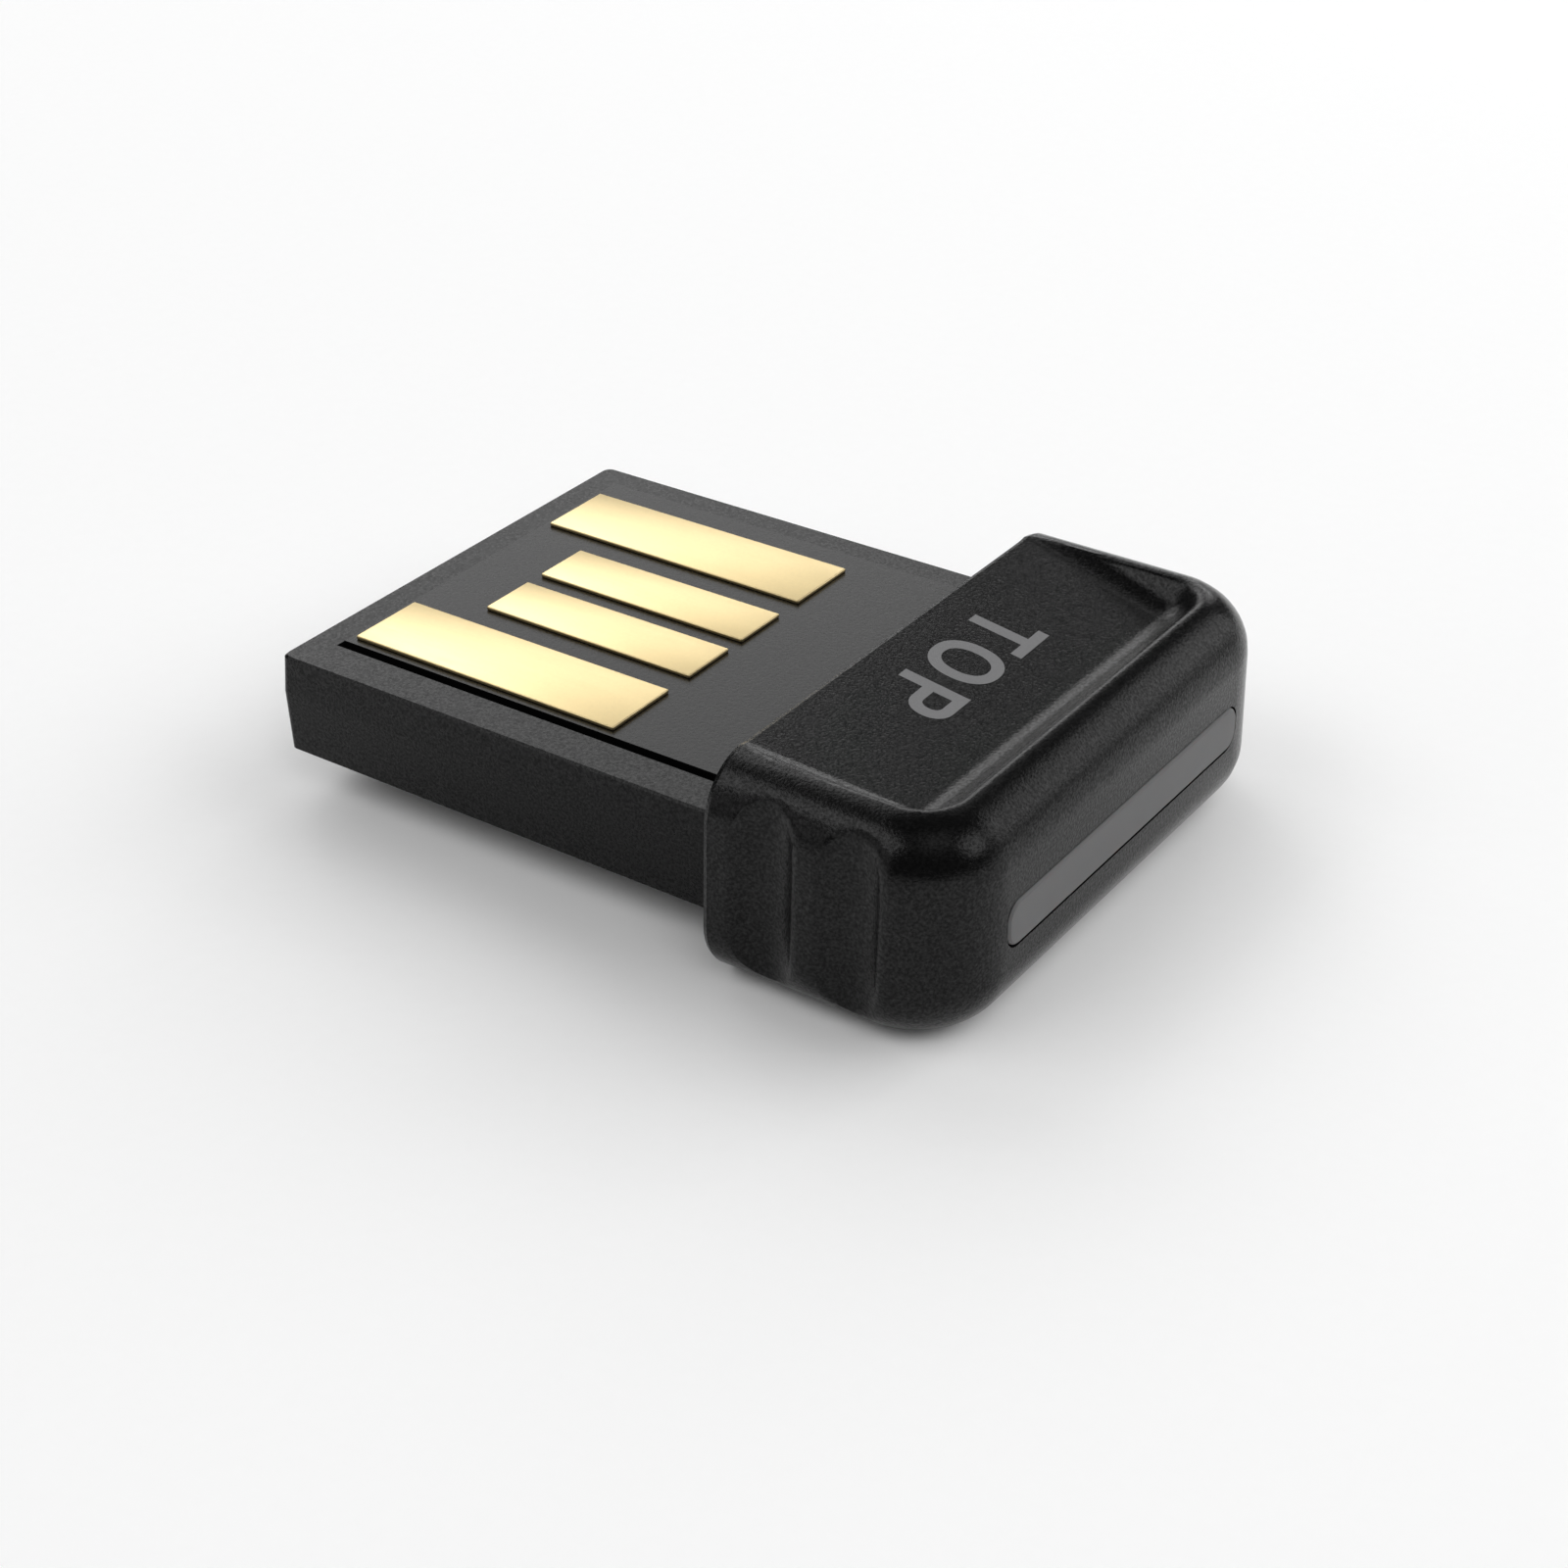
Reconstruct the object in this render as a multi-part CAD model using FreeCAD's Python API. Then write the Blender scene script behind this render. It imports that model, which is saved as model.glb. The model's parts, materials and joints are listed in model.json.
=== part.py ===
import FreeCAD, Part
import math
import os

# A small wireless adapter for a computer's USB port: a flat plug tongue with
# four gold contacts on its board, and a moulded grip cap with a light window.
# All sizes are in millimetres. +X runs from the plug's tip to the window,
# +Y is across the plug and +Z is up. The origin is at the middle of the
# underside, where the cap rests.

os.makedirs("parts", exist_ok=True)

Vector = FreeCAD.Vector

# Plug tongue, the moulded carrier that goes into the port
plug_width = 12.0
plug_reach = 12.5
plug_parting_depth = 0.92
plug_parting_flare = 0.055
plug_base_flare = 0.02
plug_corner = 0.2
carrier_floor = 0.45
part_headroom = 0.15
board_front_wall = 0.75
board_left_wall = 1.04
board_right_wall = 0.7
groove_width = 0.27
side_ledge = 0.5
front_ledge = 0.6

# Grip cap
cap_length = 5.95
cap_crown = 1.67
cap_side_wall = 0.95
cap_side_spread = 0.1
cap_top_round = 1.4
cap_bottom_round = 1.4
cap_rear_corner = 2.1
cap_rear_wall = 1.2
plug_lift = 1.07
slip_fit = 0.03
edge_break = 0.05

# Scoop in the top of the cap, open to the front
scoop_rim = 1.1
scoop_front_drop = 0.03
scoop_fall_angle = 9.4
scoop_wall_angle = 50.0
scoop_foot_round = 0.8
crest_round = 0.25

# Finger flutes, two on each side
flute_radius = 1.0
flute_depth = 0.34
flute_first = 1.44
flute_pitch = 2.1
flute_edge_round = 0.4
flutes_per_side = 2

# Light window in the end of the cap
window_side_margin = 1.1
window_height = 1.04
window_corner = 0.4
window_drop = 1.03
window_proud = 0.05
window_gap = 0.05
window_shift = 0.03
flange_thickness = 0.5
flange_side_grip = 0.2
flange_edge_grip = 0.2
flange_play = 0.05

# Circuit board and its four gold contacts
board_thickness = 0.8
contact_rear_line = 8.33
contact_thickness = 0.1
outer_contact_length = 7.4
outer_contact_width = 2.0
outer_contact_offset = 3.5
inner_contact_length = 5.85
inner_contact_width = 1.5
inner_contact_offset = 1.0

# Parts on the underside of the board
terminal_height = 0.05
radio_chip_side = 5.0
radio_chip_height = 0.8
radio_pads_per_side = 8
radio_pad_pitch = 0.5
memory_chip_length = 3.0
memory_chip_width = 2.0
memory_chip_height = 0.6
memory_pads_per_side = 4
memory_pad_pitch = 0.5
pad_length = 0.35
pad_width = 0.25
crystal_length = 3.2
crystal_width = 2.5
crystal_base_height = 0.3
crystal_lid_height = 0.4
crystal_lid_inset = 0.15
regulator_length = 2.9
regulator_width = 1.6
regulator_height = 0.95
lead_reach = 0.5
lead_width = 0.4
lead_thickness = 0.15
lead_pitch = 0.95
esd_length = 1.6
esd_width = 1.2
esd_height = 0.5
esd_pads_per_side = 3
esd_pad_pitch = 0.5
antenna_length = 3.2
antenna_width = 1.6
antenna_height = 0.9
antenna_band = 0.35
filter_length = 2.0
filter_width = 1.25
filter_height = 0.7
large_chip_length = 1.6
large_chip_width = 0.8
large_chip_height = 0.8
small_chip_length = 1.0
small_chip_width = 0.5
small_chip_height = 0.5
resistor_height = 0.35
end_band_share = 0.25
end_band_step = 0.02
led_width = 1.6
led_depth = 0.7
led_height = 0.6
led_lens_width = 1.0
led_lens_height = 0.35
led_lens_depth = 0.15
rear_setback = 0.05

# Sizes and places that follow
tallest_part = max(
    terminal_height + radio_chip_height,
    terminal_height + memory_chip_height,
    terminal_height + esd_height,
    terminal_height + regulator_height,
    terminal_height + crystal_base_height + crystal_lid_height,
    antenna_height,
    filter_height,
    large_chip_height,
    small_chip_height,
    resistor_height,
    led_height,
)
bay_depth = tallest_part + part_headroom
plug_thickness = carrier_floor + bay_depth + board_thickness
cap_height = plug_lift + plug_thickness + cap_crown
cap_shoulder_width = plug_width + 2 * cap_side_wall
total_length = plug_parting_flare + plug_reach + cap_length + window_proud
tip_x = plug_parting_flare - total_length / 2
cap_front = tip_x + plug_reach
cap_end = cap_front + cap_length
cavity_end = cap_end - cap_rear_wall
flange_front = cavity_end - flange_thickness
carrier_end = flange_front - flange_play
plug_bottom = plug_lift
plug_top = plug_bottom + plug_thickness
parting_z = plug_top - plug_parting_depth
half_plug = plug_width / 2
seat_front = tip_x + board_front_wall
seat_left = -half_plug + board_left_wall
board_left = seat_left + groove_width
board_right = half_plug - board_right_wall
board_under = plug_top - board_thickness
bay_front = seat_front + front_ledge
bay_left = seat_left + side_ledge
bay_right = board_right - side_ledge
bay_floor = plug_bottom + carrier_floor
shoulder_z = cap_height - cap_top_round
side_slope = cap_side_spread / (shoulder_z - cap_bottom_round)
window_z = plug_top - window_drop
window_width = plug_width - 2 * window_side_margin


def middle(edge):
    """The point halfway along an edge."""
    return edge.valueAt((edge.FirstParameter + edge.LastParameter) / 2)


def edges_where(shape, test):
    """The edges whose middle point passes the test."""
    return [edge for edge in shape.Edges if test(middle(edge))]


def box(x0, x1, y0, y1, z0, z1):
    """An upright block between two corners."""
    return Part.makeBox(x1 - x0, y1 - y0, z1 - z0, Vector(x0, y0, z0))


def polygon_prism(points, along):
    """A flat polygon pushed along a direction."""
    corners = [Vector(*point) for point in points]
    wire = Part.makePolygon(corners + corners[:1])
    return Part.Face(wire).extrude(Vector(*along))


def turn_between(shape, edge):
    """The angle in degrees between the two faces at the middle of an edge."""
    point = middle(edge)
    normals = []
    for face in shape.ancestorsOfType(edge, Part.Face):
        u, v = face.Surface.parameter(point)
        normals.append(face.normalAt(u, v))
    return math.degrees(normals[0].getAngle(normals[1]))


def plug_outline(z, flare):
    """The plug's outline at one height, grown by a flare, with rounded tip corners."""
    x0 = tip_x - flare
    x1 = carrier_end
    y = half_plug + flare
    r = plug_corner
    inset = r * (1 - math.sqrt(0.5))
    right = Part.Arc(Vector(x0, y - r, z), Vector(x0 + inset, y - inset, z), Vector(x0 + r, y, z))
    left = Part.Arc(Vector(x0 + r, -y, z), Vector(x0 + inset, -y + inset, z), Vector(x0, -y + r, z))
    return Part.Wire([
        Part.LineSegment(Vector(x0, -y + r, z), Vector(x0, y - r, z)).toShape(),
        right.toShape(),
        Part.LineSegment(Vector(x0 + r, y, z), Vector(x1, y, z)).toShape(),
        Part.LineSegment(Vector(x1, y, z), Vector(x1, -y, z)).toShape(),
        Part.LineSegment(Vector(x1, -y, z), Vector(x0 + r, -y, z)).toShape(),
        left.toShape(),
    ])


def plug_carrier():
    """The moulded tray, drafted both ways from its parting line, hollow for the board and its parts."""
    levels = [
        plug_outline(plug_bottom, plug_base_flare),
        plug_outline(parting_z, plug_parting_flare),
        plug_outline(plug_top - edge_break, 0),
        plug_outline(plug_top, -edge_break),
    ]
    tray = Part.makeLoft(levels, True, True)
    seat = box(seat_front, carrier_end + 1, seat_left, board_right, board_under, plug_top + 1)
    bay = box(bay_front, carrier_end + 1, bay_left, bay_right, bay_floor, plug_top + 1)
    return tray.cut(seat).cut(bay)


def cap_half_width(z):
    """Half the cap's width at one height, on its drafted sides."""
    return cap_shoulder_width / 2 + side_slope * (shoulder_z - z)


def cap_body():
    """The cap's outer form: drafted sides, rounded rear corners, soft top and bottom edges."""
    half_base = cap_half_width(0)
    half_top = cap_half_width(cap_height)
    body = polygon_prism(
        [
            (cap_front, -half_base, 0),
            (cap_front, half_base, 0),
            (cap_front, half_top, cap_height),
            (cap_front, -half_top, cap_height),
        ],
        (cap_length, 0, 0),
    )
    uprights = edges_where(body, lambda p: p.x > cap_end - 1e-6 and 0.1 < p.z < cap_height - 0.1)
    body = body.makeFillet(cap_rear_corner, uprights)
    top_edges = edges_where(body, lambda p: p.z > cap_height - 1e-6 and p.x > cap_front + 1e-3)
    body = body.makeFillet(cap_top_round, top_edges)
    base_edges = edges_where(body, lambda p: p.z < 1e-6 and p.x > cap_front + 1e-3)
    return body.makeFillet(cap_bottom_round, base_edges)


def scoop_outline(z, corner_x, corner_y, radius):
    """The scoop's outline at one height: straight sides, rounded rear corners, open to the front."""
    x0 = cap_front - cap_length
    x1 = corner_x + radius
    y = corner_y + radius
    halfway = radius * math.sqrt(0.5)
    left = Part.Arc(
        Vector(corner_x, -y, z),
        Vector(corner_x + halfway, -corner_y - halfway, z),
        Vector(x1, -corner_y, z),
    )
    right = Part.Arc(
        Vector(x1, corner_y, z),
        Vector(corner_x + halfway, corner_y + halfway, z),
        Vector(corner_x, y, z),
    )
    return Part.Wire([
        Part.LineSegment(Vector(x0, -y, z), Vector(corner_x, -y, z)).toShape(),
        left.toShape(),
        Part.LineSegment(Vector(x1, -corner_y, z), Vector(x1, corner_y, z)).toShape(),
        right.toShape(),
        Part.LineSegment(Vector(corner_x, y, z), Vector(x0, y, z)).toShape(),
        Part.LineSegment(Vector(x0, y, z), Vector(x0, -y, z)).toShape(),
    ])


def scoop_floor_z(x):
    """The height of the scoop's falling floor at one place along the cap."""
    return cap_height - scoop_front_drop - math.tan(math.radians(scoop_fall_angle)) * (x - cap_front)


def scoop_cutter():
    """What the scoop takes away: sloping walls, a floor that falls to the rear, a round at its foot."""
    wall_slope = math.tan(math.radians(scoop_wall_angle))
    corner_x = cap_end - cap_rear_corner
    corner_y = cap_half_width(cap_height) - cap_rear_corner
    rim_radius = cap_rear_corner - scoop_rim
    above = cap_top_round
    below = 0.8 * rim_radius * wall_slope
    lower = scoop_outline(cap_height - below, corner_x, corner_y, rim_radius - below / wall_slope)
    upper = scoop_outline(cap_height + above, corner_x, corner_y, rim_radius + above / wall_slope)
    cutter = Part.makeLoft([lower, upper], True, True)
    x0 = cap_front - 2 * cap_length
    x1 = cap_end + cap_length
    half = cap_shoulder_width
    under_floor = polygon_prism(
        [
            (x0, -half, scoop_floor_z(x0)),
            (x1, -half, scoop_floor_z(x1)),
            (x1, -half, -half),
            (x0, -half, -half),
        ],
        (0, 2 * half, 0),
    )
    cutter = cutter.cut(under_floor)
    foot = edges_where(
        cutter,
        lambda p: abs(p.z - scoop_floor_z(p.x)) < 1e-4 and p.x > cap_front - cap_length + 1e-3,
    )
    return cutter.makeFillet(scoop_foot_round, foot)


def with_scoop(body):
    """The body with its scoop cut and the crest round it softened."""
    hollowed = body.cut(scoop_cutter())
    x1 = cap_end - scoop_rim / 2
    crest = []
    for edge in edges_where(hollowed, lambda p: p.z > shoulder_z and cap_front + 1e-3 < p.x < x1):
        if abs(middle(edge).z - cap_height) < cap_top_round / 4 and turn_between(hollowed, edge) > 15:
            crest.append(edge)
    return hollowed.makeFillet(crest_round, crest)


def flute_cutters():
    """Cylinders that bite into both sides of the cap, leaning with its draft."""
    cutters = []
    reach = 2 * cap_height
    lean = math.degrees(math.atan(side_slope))
    from_wall = (flute_radius - flute_depth) * math.hypot(1, side_slope)
    for side in (-1, 1):
        axis_y = side * (cap_half_width(0) + from_wall)
        for index in range(flutes_per_side):
            axis_x = cap_front + flute_first + index * flute_pitch
            cutter = Part.makeCylinder(flute_radius, 2 * reach, Vector(0, 0, -reach))
            cutter.rotate(Vector(0, 0, 0), Vector(1, 0, 0), side * lean)
            cutter.translate(Vector(axis_x, axis_y, 0))
            cutters.append(cutter)
    return cutters


def is_flute_wall(face):
    """Whether a face is the hollow wall of a flute."""
    surface = face.Surface
    if surface.TypeId != "Part::GeomCylinder":
        return False
    leans = abs(abs(surface.Axis.y) - side_slope * abs(surface.Axis.z)) < 1e-6
    return leans and abs(surface.Radius - flute_radius) < 1e-6 and abs(surface.Center.y) > half_plug


def flute_round():
    """The round on a flute's edges, no larger than the land between two flutes has room for."""
    half_chord = math.sqrt(flute_radius ** 2 - (flute_radius - flute_depth) ** 2)
    half_land = min(flute_pitch / 2, flute_first) - half_chord
    turn = math.asin(half_chord / flute_radius)
    return min(flute_edge_round, 0.9 * half_land / math.tan(turn / 2))


def with_flutes(body):
    """The body with its finger flutes cut and their edges softened."""
    fluted = body.cut(Part.makeCompound(flute_cutters()))
    soft = []
    for edge in fluted.Edges:
        faces = fluted.ancestorsOfType(edge, Part.Face)
        wall = [face for face in faces if is_flute_wall(face)]
        if len(wall) == 1 and len(faces) == 2:
            soft.append(edge)
    return fluted.makeFillet(flute_round(), soft)


def plug_tunnel():
    """The room for the plug inside the cap, of the plug's own section with a slip fit."""
    x0 = cap_front - 1
    levels = (
        (half_plug + slip_fit, plug_top + slip_fit),
        (half_plug + plug_parting_flare + slip_fit, parting_z),
        (half_plug + plug_base_flare + slip_fit, plug_bottom - slip_fit),
    )
    right = [(x0, y, z) for y, z in levels]
    left = [(x0, -y, z) for y, z in reversed(levels)]
    return polygon_prism(right + left, (cavity_end - x0, 0, 0))


def rounded_bar(x0, x1, y_middle, z_middle, width, height, corner):
    """A bar along X with a rounded section."""
    bar = box(
        x0, x1,
        y_middle - width / 2, y_middle + width / 2,
        z_middle - height / 2, z_middle + height / 2,
    )
    long_edges = edges_where(bar, lambda p: x0 + 1e-6 < p.x < x1 - 1e-6)
    return bar.makeFillet(corner, long_edges)


def grip_cap():
    """The one-piece moulded cap with its scoop, flutes, plug tunnel and window slot."""
    body = with_flutes(with_scoop(cap_body()))
    front_edges = edges_where(body, lambda p: p.x < cap_front + 1e-6)
    body = body.makeChamfer(edge_break, front_edges)
    slot = rounded_bar(
        cavity_end - 1, cap_end + 1, window_shift, window_z - window_shift,
        window_width + 2 * window_gap, window_height + 2 * window_gap, window_corner + window_gap,
    )
    return body.cut(plug_tunnel()).cut(slot)


def light_window():
    """The light guide: a bar through the cap's end with a flange that keeps it in."""
    bar = rounded_bar(
        cavity_end, cap_end + window_proud, 0, window_z,
        window_width, window_height, window_corner,
    )
    face_edges = edges_where(bar, lambda p: p.x > cap_end + window_proud - 1e-6)
    bar = bar.makeChamfer(edge_break, face_edges)
    flange = rounded_bar(
        flange_front, cavity_end, 0, window_z,
        window_width + 2 * flange_side_grip, window_height + 2 * flange_edge_grip, window_corner,
    )
    return bar.fuse(flange).removeSplitter()


def circuit_board():
    """The board, pushed against the right wall of its seat."""
    return box(seat_front, carrier_end, board_left, board_right, board_under, plug_top)


def contact(offset, length, width):
    """One gold contact, raised on the board."""
    x1 = tip_x + contact_rear_line
    return box(
        x1 - length, x1,
        offset - width / 2, offset + width / 2,
        plug_top, plug_top + contact_thickness,
    )


def hanging_box(x, y, length, width, drop, height):
    """A block under the board, with its top face a drop below the board."""
    top = board_under - drop
    return box(x - length / 2, x + length / 2, y - width / 2, y + width / 2, top - height, top)


def two_ended_chip(length, width, height, band):
    """A chip part with a metal band at each end."""
    step = end_band_step
    shape = hanging_box(0, 0, length - 2 * step, width - 2 * step, step, height - 2 * step)
    for side in (-1, 1):
        shape = shape.fuse(hanging_box(side * (length - band) / 2, 0, band, width, 0, height))
    return shape.removeSplitter()


def flat_pack(length, width, height, pads_per_side, pitch, four_sides):
    """A leadless chip on pads, with a small mark at its first pad."""
    body = hanging_box(0, 0, length, width, terminal_height, height)
    mark_x = pad_length - length / 2
    mark_y = pad_length - width / 2
    mark_z = board_under - terminal_height - height
    mark = Part.makeCylinder(pad_width / 2, terminal_height, Vector(mark_x, mark_y, mark_z))
    first = -(pads_per_side - 1) * pitch / 2
    pads = []
    for index in range(pads_per_side):
        step = first + index * pitch
        for side in (-1, 1):
            edge_y = side * (width - pad_length) / 2
            pads.append(hanging_box(step, edge_y, pad_width, pad_length, 0, terminal_height))
            if four_sides:
                edge_x = side * (length - pad_length) / 2
                pads.append(hanging_box(edge_x, step, pad_length, pad_width, 0, terminal_height))
    if four_sides:
        core_length = length - 4 * pad_length
        core_width = width - 4 * pad_length
        pads.append(hanging_box(0, 0, core_length, core_width, 0, terminal_height))
    return body.cut(mark).fuse(pads).removeSplitter()


def crystal_can():
    """The crystal in its ceramic base with a metal lid."""
    shape = hanging_box(0, 0, crystal_length, crystal_width, terminal_height, crystal_base_height)
    shape = shape.fuse(hanging_box(
        0, 0,
        crystal_length - 2 * crystal_lid_inset, crystal_width - 2 * crystal_lid_inset,
        terminal_height + crystal_base_height, crystal_lid_height,
    ))
    for side in (-1, 1):
        for end in (-1, 1):
            pad_x = end * (crystal_length / 2 - 1.5 * pad_length)
            pad_y = side * (crystal_width / 2 - 1.5 * pad_length)
            shape = shape.fuse(hanging_box(pad_x, pad_y, 2 * pad_length, 2 * pad_length, 0, terminal_height))
    return shape.removeSplitter()


def voltage_regulator():
    """The regulator: a moulded body with three leads on one side and two on the other."""
    shape = hanging_box(0, 0, regulator_length, regulator_width, terminal_height, regulator_height)
    shoulder = regulator_height / 2
    for side, steps in ((-1, (-1, 0, 1)), (1, (-1, 1))):
        for step in steps:
            lead_x = step * lead_pitch
            arm_y = side * (regulator_width / 2 + lead_reach / 4)
            arm = hanging_box(lead_x, arm_y, lead_width, lead_reach / 2, 0, shoulder)
            foot_y = side * (regulator_width / 2 + 3 * lead_reach / 4)
            foot = hanging_box(lead_x, foot_y, lead_width, lead_reach / 2, 0, lead_thickness)
            shape = shape.fuse(arm).fuse(foot)
    return shape.removeSplitter()


def status_led():
    """A light at the rear edge of the board that shines into the window's flange."""
    body = hanging_box(0, 0, led_depth, led_width, 0, led_height)
    lens_z = board_under - led_height / 2
    pocket = box(
        led_depth / 2 - led_lens_depth, led_depth / 2,
        -led_lens_width / 2, led_lens_width / 2,
        lens_z - led_lens_height / 2, lens_z + led_lens_height / 2,
    )
    return body.cut(pocket)


def chip_capacitor():
    """A small ceramic capacitor."""
    band = end_band_share * small_chip_length
    return two_ended_chip(small_chip_length, small_chip_width, small_chip_height, band)


def chip_resistor():
    """A small resistor."""
    band = end_band_share * small_chip_length
    return two_ended_chip(small_chip_length, small_chip_width, resistor_height, band)


def large_chip():
    """A larger capacitor or bead."""
    band = end_band_share * large_chip_length
    return two_ended_chip(large_chip_length, large_chip_width, large_chip_height, band)


def band_filter():
    """The filter between the radio and its antenna."""
    return two_ended_chip(filter_length, filter_width, filter_height, end_band_share * filter_length)


def chip_antenna():
    """The ceramic antenna."""
    return two_ended_chip(antenna_length, antenna_width, antenna_height, antenna_band)


def radio_chip():
    """The square radio chip, with pads on its four sides."""
    return flat_pack(
        radio_chip_side, radio_chip_side, radio_chip_height,
        radio_pads_per_side, radio_pad_pitch, True,
    )


def memory_chip():
    """The memory chip, with pads on two sides."""
    return flat_pack(
        memory_chip_length, memory_chip_width, memory_chip_height,
        memory_pads_per_side, memory_pad_pitch, False,
    )


def esd_array():
    """The chip that keeps surges off the data lines."""
    return flat_pack(esd_length, esd_width, esd_height, esd_pads_per_side, esd_pad_pitch, False)


def spread(start, end, sizes):
    """The middles of pieces laid out between two ends with the same gap before, between and after them."""
    gap = (end - start - sum(sizes)) / (len(sizes) + 1)
    middles = []
    reached = start
    for size in sizes:
        middles.append(reached + gap + size / 2)
        reached += gap + size
    return middles


def footprint(part):
    """How far a part reaches along and across the board."""
    length, width, turned = part[1:4]
    return (width, length) if turned else (length, width)


def lay_out(columns):
    """The parts of each column, spread across the bay, with the columns spread from the tip to the rear."""
    rear_line = carrier_end - rear_setback
    depths = [max(footprint(part)[0] for part in column) for column in columns]
    middles = spread(bay_front, rear_line - depths[-1], depths[:-1])
    laid = {}
    for number, column in enumerate(columns):
        across = spread(bay_left, bay_right, [footprint(part)[1] for part in column])
        for part, y in zip(column, across):
            name, _, _, turned, build = part
            shape = build()
            if turned:
                shape.rotate(Vector(0, 0, 0), Vector(0, 0, 1), 90)
            rear_x = rear_line - footprint(part)[0] / 2
            x = middles[number] if number < len(middles) else rear_x
            shape.translate(Vector(x, y, 0))
            laid[name] = shape
    return laid


# Each part under the board: its name, length and width, whether it is turned, and what builds it
large = (large_chip_length, large_chip_width, False, large_chip)
capacitor = (small_chip_length, small_chip_width, False, chip_capacitor)
resistor = (small_chip_length, small_chip_width, False, chip_resistor)
led = (led_depth, led_width, False, status_led)
regulator_span = regulator_width + 2 * lead_reach
board_columns = [
    [
        ("input_capacitor", *large),
        ("ferrite_bead", *large),
        ("esd_array", esd_length, esd_width, False, esd_array),
        ("data_resistor_1", *resistor),
        ("data_resistor_2", *resistor),
        ("bypass_capacitor_1", *capacitor),
        ("crystal_capacitor_1", *capacitor),
        ("crystal_capacitor_2", *capacitor),
    ],
    [
        ("voltage_regulator", regulator_length, regulator_span, True, voltage_regulator),
        ("output_capacitor", *large),
        ("crystal_can", crystal_length, crystal_width, True, crystal_can),
    ],
    [
        ("memory_chip", memory_chip_length, memory_chip_width, False, memory_chip),
        ("radio_chip", radio_chip_side, radio_chip_side, False, radio_chip),
    ],
    [
        ("matching_capacitor", *capacitor),
        ("matching_inductor", *capacitor),
        ("band_filter", filter_length, filter_width, True, band_filter),
        ("bypass_capacitor_2", *capacitor),
        ("bypass_capacitor_3", *capacitor),
        ("led_resistor_1", *resistor),
        ("led_resistor_2", *resistor),
    ],
    [
        ("chip_antenna", antenna_length, antenna_width, True, chip_antenna),
        ("status_led_1", *led),
        ("status_led_2", *led),
    ],
]

nodes = {
    "grip_cap": grip_cap(),
    "light_window": light_window(),
    "plug_carrier": plug_carrier(),
    "circuit_board": circuit_board(),
    "ground_contact": contact(-outer_contact_offset, outer_contact_length, outer_contact_width),
    "data_plus_contact": contact(-inner_contact_offset, inner_contact_length, inner_contact_width),
    "data_minus_contact": contact(inner_contact_offset, inner_contact_length, inner_contact_width),
    "power_contact": contact(outer_contact_offset, outer_contact_length, outer_contact_width),
}
nodes.update(lay_out(board_columns))

for name, shape in nodes.items():
    shape.exportStep("parts/%s.step" % name)
    print(name, shape.isValid(), len(shape.Solids), round(shape.Volume, 4))
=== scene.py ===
"""A small wireless adapter for a computer's port, dressed for a studio picture.

The adapter is a flat plug tongue with four gold contacts and a moulded grip
cap with a thumb scoop, finger flutes and a light window. Lengths are in
millimetres where a name ends in _mm, and in metres everywhere else.
"""

import json
import logging
import math
from dataclasses import dataclass
from enum import Enum
from typing import Callable, Protocol

import bmesh
import bpy
from mathutils import Matrix, Vector


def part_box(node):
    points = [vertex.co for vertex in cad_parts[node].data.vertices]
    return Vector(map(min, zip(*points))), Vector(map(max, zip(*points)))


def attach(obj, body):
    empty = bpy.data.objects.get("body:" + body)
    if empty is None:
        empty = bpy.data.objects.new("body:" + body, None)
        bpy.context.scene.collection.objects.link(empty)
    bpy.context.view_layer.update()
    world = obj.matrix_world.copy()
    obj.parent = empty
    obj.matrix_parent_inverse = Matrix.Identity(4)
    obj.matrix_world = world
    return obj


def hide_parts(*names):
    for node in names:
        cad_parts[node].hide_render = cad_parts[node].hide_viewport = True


LOG = logging.getLogger("adapter")
MM = 0.001
SAME_PLACE = 1e-7
MIX_LOW, MIX_HIGH, MIX_RESULT = 6, 7, 2
WAVE_FACTOR = 1
BODY = "root"

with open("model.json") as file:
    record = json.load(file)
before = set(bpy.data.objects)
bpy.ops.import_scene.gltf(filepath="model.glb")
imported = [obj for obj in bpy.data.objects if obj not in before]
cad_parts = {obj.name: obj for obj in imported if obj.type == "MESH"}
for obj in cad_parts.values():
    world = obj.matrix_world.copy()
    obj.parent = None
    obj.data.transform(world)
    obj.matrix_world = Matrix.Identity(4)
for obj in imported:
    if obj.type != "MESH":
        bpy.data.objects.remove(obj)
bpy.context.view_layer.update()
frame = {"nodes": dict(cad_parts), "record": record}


class Slot(Enum):
    """The record's material slots that the scene's own pieces take their finish from."""

    CAP = "cap_plastic"
    CONTACT = "contact_gold"
    WINDOW = "window_plastic"


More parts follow.
